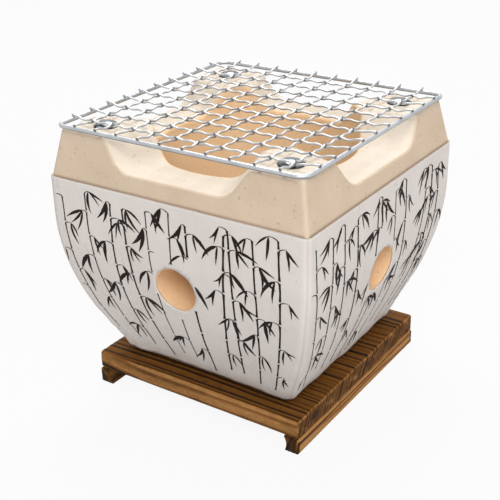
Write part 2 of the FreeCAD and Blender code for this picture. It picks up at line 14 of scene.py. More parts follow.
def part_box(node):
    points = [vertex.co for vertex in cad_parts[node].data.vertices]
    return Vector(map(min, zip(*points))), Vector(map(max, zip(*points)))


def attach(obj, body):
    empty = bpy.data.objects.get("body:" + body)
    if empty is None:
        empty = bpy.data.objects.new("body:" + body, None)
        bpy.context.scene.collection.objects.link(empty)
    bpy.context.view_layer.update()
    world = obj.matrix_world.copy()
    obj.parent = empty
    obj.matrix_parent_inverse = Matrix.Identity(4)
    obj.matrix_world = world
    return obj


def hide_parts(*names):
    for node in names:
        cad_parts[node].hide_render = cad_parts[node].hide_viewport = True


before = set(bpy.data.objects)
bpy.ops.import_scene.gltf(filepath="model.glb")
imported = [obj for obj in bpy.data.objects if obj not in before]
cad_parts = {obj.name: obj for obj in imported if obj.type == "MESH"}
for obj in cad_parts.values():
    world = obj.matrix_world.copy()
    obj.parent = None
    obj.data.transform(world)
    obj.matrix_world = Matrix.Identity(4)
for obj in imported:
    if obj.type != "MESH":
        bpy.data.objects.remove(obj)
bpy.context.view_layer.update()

LOG = logging.getLogger("tabletop_grill")

Colour = tuple[float, float, float, float]
Place = tuple[float, float, float]
Span = tuple[float, float]
Material = bpy.types.Material
Piece = bpy.types.Object
Shape = bmesh.types.BMesh
Socket = bpy.types.NodeSocket

# Sockets of a Mix node in its colour mode, where names repeat
MIX_SHARE, MIX_FIRST, MIX_SECOND, MIX_RESULT = 0, 6, 7, 2
# A direction counts as facing along an axis above this share
FACING = 0.7


def srgb(red: int, green: int, blue: int) -> Colour:
    """Turn an 8-bit display colour into a linear one.

    Args:
        red: Red level, 0 to 255.
        green: Green level, 0 to 255.
        blue: Blue level, 0 to 255.

    Returns:
        The linear colour with full alpha.
    """
    shares = [level / 255 for level in (red, green, blue)]
    linear = [s / 12.92 if s <= 0.04045 else ((s + 0.055) / 1.055) ** 2.4 for s in shares]
    return (linear[0], linear[1], linear[2], 1.0)


def smooth_step(value: float, low: float, high: float) -> float:
    """Ease from 0 at low to 1 at high.

    Args:
        value: Where to read the ease.
        low: Where it starts.
        high: Where it ends.

    Returns:
        A share from 0 to 1.
    """
    share = min(max((value - low) / (high - low), 0.0), 1.0)
    return share * share * (3 - 2 * share)


class NodeBench:
    """A material's node tree, with short calls for the nodes that the finishes use."""

    def __init__(self, name: str) -> None:
        """Start a material with one shader.

        Args:
            name: The material's name.
        """
        self.material = bpy.data.materials.new(name)
        self.material.use_nodes = True
        self.tree = self.material.node_tree
        self.tree.nodes.clear()
        output = self.add("ShaderNodeOutputMaterial")
        self.shader = self.add("ShaderNodeBsdfPrincipled")
        self.join(self.shader.outputs["BSDF"], output.inputs["Surface"])
        self.place = self.add("ShaderNodeTexCoord").outputs["Object"]

    def add(self, kind: str, **settings: object) -> bpy.types.Node:
        """Add a node.

        Args:
            kind: The node's type name.
            **settings: Properties to set on it.

        Returns:
            The new node.
        """
        node = self.tree.nodes.new(kind)
        for key, value in settings.items():
            setattr(node, key, value)
        return node

    def join(self, source: Socket, target: Socket) -> None:
        """Link two sockets."""
        self.tree.links.new(source, target)

    def feed(self, target: Socket, value: object) -> None:
        """Link a socket to a target, or set a constant on it.

        Args:
            target: The input socket.
            value: An output socket, or a plain value.
        """
        if isinstance(value, bpy.types.NodeSocket):
            self.join(value, target)
        else:
            target.default_value = value

    def stretched(self, scale: Sequence[float], shift: Sequence[float] = (0.0, 0.0, 0.0)) -> Socket:
        """Object coordinates with a scale and a shift for each axis.

        Args:
            scale: Scales along X, Y and Z.
            shift: Shifts after the scale.

        Returns:
            The scaled coordinates.
        """
        mapping = self.add("ShaderNodeMapping")
        mapping.inputs["Scale"].default_value = scale
        mapping.inputs["Location"].default_value = shift
        self.join(self.place, mapping.inputs["Vector"])
        return mapping.outputs["Vector"]

    def split(self, place: Socket | None = None) -> Sequence[Socket]:
        """X, Y and Z of some coordinates, or of the plain object coordinates."""
        parts = self.add("ShaderNodeSeparateXYZ")
        self.join(place or self.place, parts.inputs["Vector"])
        return parts.outputs

    def grain(self, scale: float, detail: float = 4.0, rough: float = 0.55,
              place: Socket | None = None) -> Socket:
        """Noise.

        Args:
            scale: Features in a metre.
            detail: Number of finer layers.
            rough: Weight of the finer layers.
            place: Coordinates, or the plain object coordinates.

        Returns:
            The noise's value.
        """
        node = self.add("ShaderNodeTexNoise")
        self.join(place or self.place, node.inputs["Vector"])
        node.inputs["Scale"].default_value = scale
        node.inputs["Detail"].default_value = detail
        node.inputs["Roughness"].default_value = rough
        return node.outputs["Fac"]

    def sum(self, operation: str, first: object, second: object) -> Socket:
        """One step of arithmetic, kept between 0 and 1.

        Args:
            operation: The Math node's operation.
            first: First socket or number.
            second: Second socket or number.

        Returns:
            The result.
        """
        node = self.add("ShaderNodeMath", operation=operation, use_clamp=True)
        self.feed(node.inputs[0], first)
        self.feed(node.inputs[1], second)
        return node.outputs[0]

    def ease(self, value: Socket, low: float, high: float) -> Socket:
        """Ease a value from 0 at low to 1 at high; low may be the larger.

        Args:
            value: The value to read.
            low: Where the result is 0.
            high: Where the result is 1.

        Returns:
            The eased share.
        """
        node = self.add("ShaderNodeMapRange", interpolation_type="SMOOTHSTEP")
        self.join(value, node.inputs["Value"])
        falling = low > high
        node.inputs["From Min"].default_value = min(low, high)
        node.inputs["From Max"].default_value = max(low, high)
        node.inputs["To Min"].default_value = 1.0 if falling else 0.0
        node.inputs["To Max"].default_value = 0.0 if falling else 1.0
        return node.outputs["Result"]

    def ramp(self, value: Socket, stops: Sequence[tuple[float, Colour]]) -> Socket:
        """Colours along a value.

        Args:
            value: The value to read.
            stops: Places from 0 to 1 with their colours.

        Returns:
            The colour.
        """
        node = self.add("ShaderNodeValToRGB")
        points = node.color_ramp.elements
        while len(points) < len(stops):
            points.new(0.5)
        for point, (spot, colour) in zip(points, stops):
            point.position = spot
            point.color = colour
        self.join(value, node.inputs["Fac"])
        return node.outputs["Color"]

    def mix(self, share: object, first: object, second: object, blend: str = "MIX") -> Socket:
        """Mix two colours.

        Args:
            share: How much of the second, a socket or a number.
            first: First colour or socket.
            second: Second colour or socket.
            blend: The blend type.

        Returns:
            The mixed colour.
        """
        node = self.add("ShaderNodeMix", data_type="RGBA", blend_type=blend)
        self.feed(node.inputs[MIX_SHARE], share)
        self.feed(node.inputs[MIX_FIRST], first)
        self.feed(node.inputs[MIX_SECOND], second)
        return node.outputs[MIX_RESULT]

    def relief(self, height: Socket, depth: float, under: Socket | None = None) -> Socket:
        """Bump from a height.

        Args:
            height: Height from 0 to 1.
            depth: Depth of the whole height in metres.
            under: A bump below this one.

        Returns:
            The bumped normal.
        """
        node = self.add("ShaderNodeBump")
        node.inputs["Strength"].default_value = 1.0
        node.inputs["Distance"].default_value = depth
        self.join(height, node.inputs["Height"])
        if under is not None:
            self.join(under, node.inputs["Normal"])
        return node.outputs["Normal"]

    def surface(self, colour: object, roughness: object, normal: Socket | None = None,
                metal: float = 0.0, gloss: float = 0.5) -> Material:
        """Finish the material.

        Args:
            colour: Base colour or its socket.
            roughness: Roughness or its socket.
            normal: Bumped normal.
            metal: 1 for bare metal.
            gloss: Specular level.

        Returns:
            The material.
        """
        self.shader.inputs["Specular IOR Level"].default_value = gloss
        self.feed(self.shader.inputs["Base Color"], colour)
        self.feed(self.shader.inputs["Roughness"], roughness)
        self.shader.inputs["Metallic"].default_value = metal
        if normal is not None:
            self.join(normal, self.shader.inputs["Normal"])
        return self.material


@dataclass(frozen=True)
class ClayFinish:
    """Soft clay: tan outside; paler on the rim's cuts, partly painted top light; warmer inside, partly
    painted bounce light; painted shade at the foot and the ledge.
    """

    dusty: Colour = srgb(225, 204, 181)
    dusty_dark: Colour = srgb(213, 190, 165)
    # warm, warm_dark: the inner clay, painted brighter and warmer as bounce light in the bowl and the vents
    warm: Colour = srgb(254, 221, 180)
    warm_dark: Colour = srgb(250, 212, 168)
    # pale, pale_dark: the rim's cream coat, painted paler still as painted top light on the up-facing cuts
    pale: Colour = srgb(234, 222, 206)
    pale_dark: Colour = srgb(227, 213, 195)
    # foot: painted shade on the clay below the paper's hem
    foot: Colour = srgb(86, 66, 48)
    # step: painted shade on the ledge where the band meets the paper's top
    step: Colour = srgb(158, 136, 112)
    speck: Colour = srgb(150, 122, 92)
    bowl_radius: float = 0.0575
    paper_top: float = 0.1283
    hem_level: float = 0.0218
    band_half: float = 0.0776
    band_base: float = 0.10443
    band_slope: float = 0.20833
    pore_depth: float = 0.00025
    skin_depth: float = 0.0002

    def material(self) -> Material:
        """Build the finish."""
        bench = NodeBench("clay_finish")
        cloud = bench.grain(38.0, 5.0, 0.6)
        pairs = (self.dusty_dark, self.dusty), (self.warm_dark, self.warm), (self.pale_dark, self.pale)
        dusty, warm, pale = (bench.ramp(cloud, ((0.3, low), (0.7, high))) for low, high in pairs)
        east, north, height = bench.split()
        away = bench.sum("MAXIMUM", bench.sum("ABSOLUTE", east, 0.0), bench.sum("ABSOLUTE", north, 0.0))
        face = bench.sum("SUBTRACT", self.band_base, bench.sum("MULTIPLY", height, self.band_slope))
        # Paler where the clay is cut inside the band: painted top light over the rim's cream coat
        base = bench.mix(bench.ease(bench.sum("SUBTRACT", face, away), 0.0002, 0.0016), dusty, pale)
        # Warmer in the bowl and below the paper's top, where only the vents show: inner clay with painted
        # bounce light
        reach = bench.add("ShaderNodeVectorMath", operation="LENGTH")
        bench.join(bench.stretched((1.0, 1.0, 0.0)), reach.inputs[0])
        in_bowl = bench.ease(reach.outputs["Value"], self.bowl_radius, self.bowl_radius - 0.003)
        below = bench.ease(height, self.paper_top, self.paper_top - 0.002)
        base = bench.mix(bench.sum("MAXIMUM", in_bowl, below), base, warm)
        # Painted shade: the clay's foot below the hem is darkened
        foot_shade = bench.ease(height, self.hem_level + 0.0015, self.hem_level - 0.0005)
        base = bench.mix(foot_shade, base, self.foot)
        # Painted shade on the up-facing ledge at the paper's top, which the top light would brighten
        ledge_shade = bench.sum("MULTIPLY", bench.ease(away, self.band_half - 0.0003, self.band_half + 0.0001),
                          bench.ease(height, self.paper_top, self.paper_top + 0.0002))
        base = bench.mix(bench.sum("MULTIPLY", ledge_shade, 0.8), base, self.step)
        specks = bench.ease(bench.grain(620.0, 2.0, 0.5), 0.70, 0.76)
        base = bench.mix(bench.sum("MULTIPLY", specks, 0.3), base, self.speck)
        pores = bench.ease(bench.grain(420.0, 3.0, 0.6), 0.36, 0.26)
        base = bench.mix(bench.sum("MULTIPLY", pores, 0.2), base, self.speck)
        skin = bench.relief(bench.grain(90.0, 6.0, 0.62), self.skin_depth)
        normal = bench.relief(bench.sum("SUBTRACT", 1.0, pores), self.pore_depth, skin)
        rough = bench.sum("ADD", 0.78, bench.sum("MULTIPLY", cloud, 0.2))
        return bench.surface(base, rough, normal, gloss=0.2)


@dataclass(frozen=True)
class PaperFinish:
    """Thin handmade paper: faint pink grey, short fibres, a little grime at the hem."""

    sheet: Colour = srgb(231, 224, 219)
    cloud: Colour = srgb(222, 214, 208)
    fibre: Colour = srgb(198, 186, 176)
    grime: Colour = srgb(186, 170, 152)
    hem_level: float = 0.0218
    top_level: float = 0.1286
    fibre_depth: float = 0.00008

    def material(self) -> Material:
        """Build the finish."""
        bench = NodeBench("paper_finish")
        base = bench.ramp(bench.grain(30.0, 5.0, 0.6), ((0.3, self.cloud), (0.65, self.sheet)))
        fibres = bench.grain(260.0, 4.0, 0.7, bench.stretched((1.0, 1.0, 0.35)))
        thin = bench.ease(fibres, 0.60, 0.72)
        base = bench.mix(bench.sum("MULTIPLY", thin, 0.45), base, self.fibre)
        east, north, height = bench.split()
        east, north = (bench.sum("ABSOLUTE", place, 0.0) for place in (east, north))
        apart = bench.sum("ADD", bench.sum("SUBTRACT", east, north), bench.sum("SUBTRACT", north, east))
        # Painted shade along the paper's corner folds
        crease_shade = bench.sum("MULTIPLY", bench.ease(apart, 0.0016, 0.0003), 0.4)
        # Painted shade on the paper's top edge, which faces up and would catch the top light
        cut = bench.sum("MULTIPLY", bench.ease(height, self.top_level - 0.0004, self.top_level), 0.75)
        base = bench.mix(bench.sum("MAXIMUM", crease_shade, cut), base, self.fibre)
        low = bench.ease(height, self.hem_level + 0.012, self.hem_level - 0.001)
        dirt = bench.sum("MULTIPLY", low, bench.ease(bench.grain(120.0), 0.35, 0.75))
        base = bench.mix(bench.sum("MULTIPLY", dirt, 0.5), base, self.grime)
        fine = bench.relief(bench.grain(900.0, 3.0), self.fibre_depth)
        normal = bench.relief(fibres, self.fibre_depth * 2, fine)
        rough = bench.sum("ADD", 0.8, bench.sum("MULTIPLY", thin, 0.12))
        return bench.surface(base, rough, normal, gloss=0.25)


@dataclass(frozen=True)
class InkFinish:
    """Brush ink: warm black, a little thin where the brush ran dry."""

    full: Colour = srgb(34, 26, 22)
    dry: Colour = srgb(86, 76, 70)

    def material(self) -> Material:
        """Build the finish."""
        bench = NodeBench("ink_finish")
        streaks = bench.grain(700.0, 3.0, 0.65, bench.stretched((1.0, 1.0, 0.3)))
        base = bench.ramp(streaks, ((0.60, self.full), (0.80, self.dry)))
        rough = bench.sum("ADD", 0.6, bench.sum("MULTIPLY", streaks, 0.3))
        return bench.surface(base, rough, gloss=0.15)


@dataclass(frozen=True)
class WoodFinish:
    """Wood with its growth rings, from raw tan to burnt brown.

    The mesh carries two attributes: grain, 1 on a hard dark ring, and char, 1 where it is burnt and more
    where it is sooty.
    """

    name: str
    raw: Colour = srgb(192, 142, 86)
    raw_ring: Colour = srgb(142, 91, 44)
    burnt: Colour = srgb(118, 74, 24)
    burnt_ring: Colour = srgb(26, 14, 5)
    soot: Colour = srgb(32, 18, 8)
    along: Place = (0.06, 1.0, 1.0)
    fleck: Place = (0.5, 1.0, 1.0)
    fibre_depth: float = 0.00022

    def material(self) -> Material:
        """Build the finish."""
        bench = NodeBench(self.name)
        ring = bench.add("ShaderNodeAttribute", attribute_name="grain").outputs["Fac"]
        char = bench.add("ShaderNodeAttribute", attribute_name="char").outputs["Fac"]
        fibres = bench.grain(900.0, 5.0, 0.7, bench.stretched(self.along))
        mottled = bench.grain(70.0, 4.0, 0.6)
        threads = bench.sum("MULTIPLY", bench.sum("SUBTRACT", fibres, 0.42), 1.4)
        line = bench.sum("ADD", bench.sum("MULTIPLY", ring, 1.25), threads)
        raw = bench.mix(line, self.raw, self.raw_ring)
        burnt = bench.mix(line, self.burnt, self.burnt_ring)
        flecks = bench.sum("MULTIPLY", bench.grain(420.0, 4.0, 0.65, bench.stretched(self.fleck)), 0.45)
        patchy = bench.sum("ADD", bench.sum("MULTIPLY", mottled, 0.3), flecks)
        shade = bench.ease(bench.sum("ADD", char, bench.sum("SUBTRACT", patchy, 0.22)), 0.2, 0.85)
        base = bench.mix(shade, raw, burnt)
        base = bench.mix(bench.sum("MULTIPLY", bench.ease(char, 1.0, 1.5), 0.85), base, self.soot)
        marks = bench.sum("MULTIPLY", bench.ease(bench.grain(160.0, 4.0, 0.65), 0.60, 0.74), 0.6)
        base = bench.mix(marks, base, self.soot)
        coarse = bench.relief(fibres, self.fibre_depth)
        rough = bench.sum("ADD", 0.55, bench.sum("MULTIPLY", fibres, 0.35))
        return bench.surface(base, rough, coarse, gloss=0.15)


@dataclass(frozen=True)
class SteelFinish:
    """Drawn or pressed steel with faint draw marks and a little tarnish."""

    name: str
    bright: Colour = srgb(190, 193, 197)
    dull: Colour = srgb(156, 159, 163)
    # dark: colour of the painted shade
    dark: Colour = srgb(84, 86, 88)
    rough_low: float = 0.22
    rough_span: float = 0.25
    mark_scale: float = 700.0
    mark_depth: float = 0.00003

    def wear_and_shade(self, bench: NodeBench) -> Socket | float:
        """Where painted shade darkens the steel, from 0 to 1: nowhere on plain steel."""
        return 0.0

    def material(self) -> Material:
        """Build the finish."""
        bench = NodeBench(self.name)
        tarnish = bench.grain(130.0, 4.0, 0.6)
        base = bench.ramp(tarnish, ((0.4, self.bright), (0.75, self.dull)))
        wear_and_shade = self.wear_and_shade(bench)
        if isinstance(wear_and_shade, bpy.types.NodeSocket):
            # Painted shade: the dark colour is mixed in by the mask above
            base = bench.mix(bench.sum("MULTIPLY", wear_and_shade, 0.85), base, self.dark)
        marks = bench.grain(self.mark_scale, 3.0, 0.6)
        rough = bench.sum("ADD", self.rough_low, bench.sum("MULTIPLY", marks, self.rough_span))
        return bench.surface(base, rough, bench.relief(marks, self.mark_depth), 1.0)


@dataclass(frozen=True)
class WireFinish(SteelFinish):
    """Net wire, with painted shade where two wires cross and at its cut ends."""

    pitch: float = 0.013556
    end: float = 0.0739

    def wear_and_shade(self, bench: NodeBench) -> Socket | float:
        """Painted shade at the crossings and the ends."""
        east, north, _ = bench.split(bench.stretched((1 / self.pitch, 1 / self.pitch, 1.0), (0.5, 0.5, 0.0)))
        apart = bench.sum("MAXIMUM", bench.sum("PINGPONG", east, 0.5), bench.sum("PINGPONG", north, 0.5))
        east, north, _ = bench.split()
        away = bench.sum("MAXIMUM", bench.sum("ABSOLUTE", east, 0.0), bench.sum("ABSOLUTE", north, 0.0))
        cut = bench.ease(away, self.end, self.end + 0.0004)
        return bench.sum("MAXIMUM", bench.ease(apart, 0.070, 0.030), cut)


@dataclass(frozen=True)
class StudFinish(SteelFinish):
    """Polished stud, with painted shade round its edge."""

    edge: float = 0.1532

    def wear_and_shade(self, bench: NodeBench) -> Socket | float:
        """Painted shade at the edge of the dome."""
        return bench.ease(bench.split()[2], self.edge + 0.0008, self.edge)


@dataclass(frozen=True)
class FrameFinish(SteelFinish):
    """Frame wire, with painted shade along its underside."""

    middle: float = 0.1552

    def wear_and_shade(self, bench: NodeBench) -> Socket | float:
        """Painted shade below the middle of the wire."""
        return bench.ease(bench.split()[2], self.middle - 0.0001, self.middle - 0.0009)


@dataclass(frozen=True)
class IronFinish:
    """Rough cast iron with a dusting of ash and rust."""

    iron: Colour = srgb(58, 55, 53)
    ash: Colour = srgb(120, 115, 108)
    rust: Colour = srgb(104, 66, 44)

    def material(self) -> Material:
        """Build the finish."""
        bench = NodeBench("iron_finish")
        sand = bench.grain(520.0, 4.0, 0.65)
        base = bench.mix(bench.ease(bench.grain(90.0, 5.0), 0.5, 0.75), self.iron, self.ash)
        base = bench.mix(bench.sum("MULTIPLY", bench.ease(sand, 0.58, 0.7), 0.6), base, self.rust)
        return bench.surface(base, bench.sum("ADD", 0.55, bench.sum("MULTIPLY", sand, 0.4)),
                             bench.relief(sand, 0.0003), 0.4)


class Side(Enum):
    """The four sides of the body, in quarter turns from the front."""

    FRONT = 0
    RIGHT = 1
    BACK = 2
    LEFT = 3

    @property
    def turn(self) -> Matrix:
        """Rotation from the front to this side."""
        return Matrix.Rotation(self.value * math.pi / 2, 3, "Z")


@dataclass(frozen=True)
class BodyForm:
    """The clay body's outside below the band: straight foot, bulge, upright strip, round corners."""

    wide_half: float = 0.078
    bulge_radius: float = 0.150
    foot_slope: float = 0.47
    upright_level: float = 0.1068
    foot_level: float = 0.0198
    corner_top: float = 0.0022
    corner_foot: float = 0.0045

    def half(self, height: float) -> float:
        """Half width at a height.

        Args:
            height: Height above the table.

        Returns:
            Half the width between two flat sides.
        """
        if height >= self.upright_level:
            return self.wide_half
        slant = math.hypot(1, self.foot_slope)
        bend_level = self.upright_level - self.bulge_radius * self.foot_slope / slant
        middle = self.wide_half - self.bulge_radius
        if height >= bend_level:
            return middle + math.sqrt(self.bulge_radius ** 2 - (self.upright_level - height) ** 2)
        return middle + self.bulge_radius / slant - self.foot_slope * (bend_level - height)

    def corner(self, height: float) -> float:
        """Plan radius of a corner at a height."""
        drop = max(self.upright_level - height, 0) / (self.upright_level - self.foot_level)
        return self.corner_top + (self.corner_foot - self.corner_top) * drop

    def reach(self, height: float) -> float:
        """Distance along the surface from the middle of a side to the middle of its corner."""
        return self.half(height) - self.corner(height) * (1 - math.pi / 4)

    def spot(self, side: Side, along: float, height: float, proud: float) -> Vector:
        """A point on or above the surface.

        Args:
            side: Which side.
            along: Distance along the surface from the middle of the side.
            height: Height above the table.
            proud: Distance outwards from the clay.

        Returns:
            The point.
        """
        half = self.half(height)
        radius = self.corner(height)
        flat = half - radius
        bend = max(abs(along) - flat, 0) / radius
        across = min(abs(along), flat) + radius * math.sin(bend)
        out = half - radius * (1 - math.cos(bend))
        hand = math.copysign(1, along)
        step = 0.0005
        slope = (self.half(height + step) - self.half(height - step)) / (2 * step)
        normal = Vector((math.sin(bend) * hand, -math.cos(bend), -slope)).normalized()
        return side.turn @ (Vector((across * hand, -out, height)) + normal * proud)


def new_piece(name: str, shape: Shape, finish: Material, body: str) -> Piece:
    """Turn a shape into a piece that rides on a body.

    Args:
        name: The piece's name.
        shape: Its shape, which is freed.
        finish: Its material.
        body: The body that it moves with.

    Returns:
        The object.
    """
    mesh = bpy.data.meshes.new(name)
    shape.to_mesh(mesh)
    shape.free()
    mesh.materials.append(finish)
    for face in mesh.polygons:
        face.use_smooth = True
    piece = bpy.data.objects.new(name, mesh)
    bpy.context.scene.collection.objects.link(piece)
    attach(piece, body)
    return piece


def dress(node: str, finish: Material) -> None:
    """Give a solid of the frame its finish.

    Args:
        node: The solid's name.
        finish: Its material.
    """
    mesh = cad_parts[node].data
    mesh.materials.clear()
    mesh.materials.append(finish)


@dataclass
class PaperWrap:
    """Paper pasted round the bulge, a little uneven, crumpled at the hem, cut open at the vents."""

    form: BodyForm
    thickness: float = 0.0003
    lift: float = 0.00043
    top: float = 0.1288
    hem: float = 0.0214
    hem_span: float = 0.0026
    vent_level: float = 0.0813
    vent_radius: float = 0.0125
    cells_across: int = 96
    cells_up: int = 72
    slack: float = 0.00016
    crumple: float = 0.0011
    crumple_reach: float = 0.011
    pleat: float = 0.0009
    ripple: float = 0.00005
    top_wave: float = 0.0003
    ragged: float = 0.06

    def hem_at(self, spot: Vector) -> float:
        """Height of the paper's lower edge near a point of the foot."""
        wave = noise.noise(Vector((spot.x, spot.y, 0.3)) * 22) + 0.35 * noise.noise(spot * 90)
        return self.hem + self.hem_span * min(max(0.5 + 0.75 * wave, 0.0), 1.0)

    def proud(self, spot: Vector) -> float:
        """How far the paper's outer face stands off the clay at a point of the clay's surface.

        Args:
            spot: The point.

        Returns:
            The distance in metres.
        """
        rise = spot.z - self.hem
        slack = self.slack * (1 + noise.noise(spot * 34))
        near_hem = math.exp(-max(rise, 0) / self.crumple_reach)
        crumple = self.crumple * near_hem * max(noise.noise(spot * 75) + 0.25, 0)
        half = self.form.half(spot.z)
        at_corner = smooth_step(min(abs(spot.x), abs(spot.y)), half - 0.016, half - 0.002)
        low = smooth_step(spot.z, 0.087, 0.037)
        fold = abs(noise.noise(Vector((spot.x, spot.y, spot.z * 0.3)) * 210))
        pleat = self.pleat * at_corner * low * fold
        return self.lift + slack + crumple + pleat + self.ripple * noise.noise(spot * 260)

    def outside(self, side: Side, along: float, height: float, above: float = 0.0) -> Vector:
        """A point of the paper's outer face.

        Args:
            side: Which side.
            along: Distance along the surface from the middle of the side.
            height: Height above the table.
            above: Distance above the paper.

        Returns:
            The point.
        """
        bare = self.form.spot(side, along, height, 0)
        return self.form.spot(side, along, height, self.proud(bare) + above)

    def build(self) -> Piece:
        """Make the wrap.

        Returns:
            The piece.
        """
        shape = bmesh.new()
        for side in Side:
            grid = bmesh.ops.create_grid(
                shape, x_segments=self.cells_across, y_segments=self.cells_up, size=1.0)
            for vert in grid["verts"]:
                across, share = vert.co.x, (vert.co.y + 1) / 2
                foot = self.form.spot(side, across * self.form.reach(self.hem), self.hem, 0)
                low = self.hem_at(foot)
                high = self.top + self.top_wave * noise.noise(foot * 60)
                height = low + (high - low) * share
                vert.co = self.outside(side, across * self.form.reach(height), height)
            self.open_vent(shape, side)
        bmesh.ops.remove_doubles(shape, verts=shape.verts, dist=0.00005)
        bmesh.ops.recalc_face_normals(shape, faces=shape.faces)
        piece = new_piece("paper_skin", shape, PaperFinish().material(), "stove")
        wall = piece.modifiers.new("thickness", "SOLIDIFY")
        wall.thickness = self.thickness
        wall.offset = -1.0
        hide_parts("paper_wrap")
        return piece

    def open_vent(self, shape: Shape, side: Side) -> None:
        """Cut the hole at one side's vent, with a slightly ragged edge.

        Args:
            shape: The wrap so far.
            side: Which side.
        """
        back = side.turn.transposed()

        def away(point: Vector) -> Vector:
            local = back @ point
            return Vector((local.x, local.z - self.vent_level)) if local.y < 0 else Vector((1, 1))

        inside = [f for f in shape.faces if away(f.calc_center_median()).length < self.vent_radius]
        bmesh.ops.delete(shape, geom=inside, context="FACES")
        for vert in [v for v in shape.verts if v.is_boundary]:
            offset = away(vert.co)
            if offset.length < self.vent_radius * 1.3:
                ragged = 1 + self.ragged * noise.noise(Vector((offset.x, offset.y, side.value)) * 330)
                edge = offset.normalized() * self.vent_radius * ragged
                vert.co = self.outside(side, edge.x, self.vent_level + edge.y)


class Stroke(Enum):
    """Brush strokes of the print."""

    LEAF = "leaf"
    STALK = "stalk"
    TWIG = "twig"

    def width(self, share: float) -> float:
        """Width of the stroke along its length, as a share of its greatest width.

        Args:
            share: Place along the stroke, from 0 to 1.

        Returns:
            The width's share.
        """
        if self is Stroke.LEAF:
            return 0.06 + 0.94 * math.sin(math.pi * share ** 0.72) ** 0.9
        if self is Stroke.STALK:
            return 0.72 + 0.28 * abs(2 * share - 1) ** 5
        return 1.0 - 0.65 * share


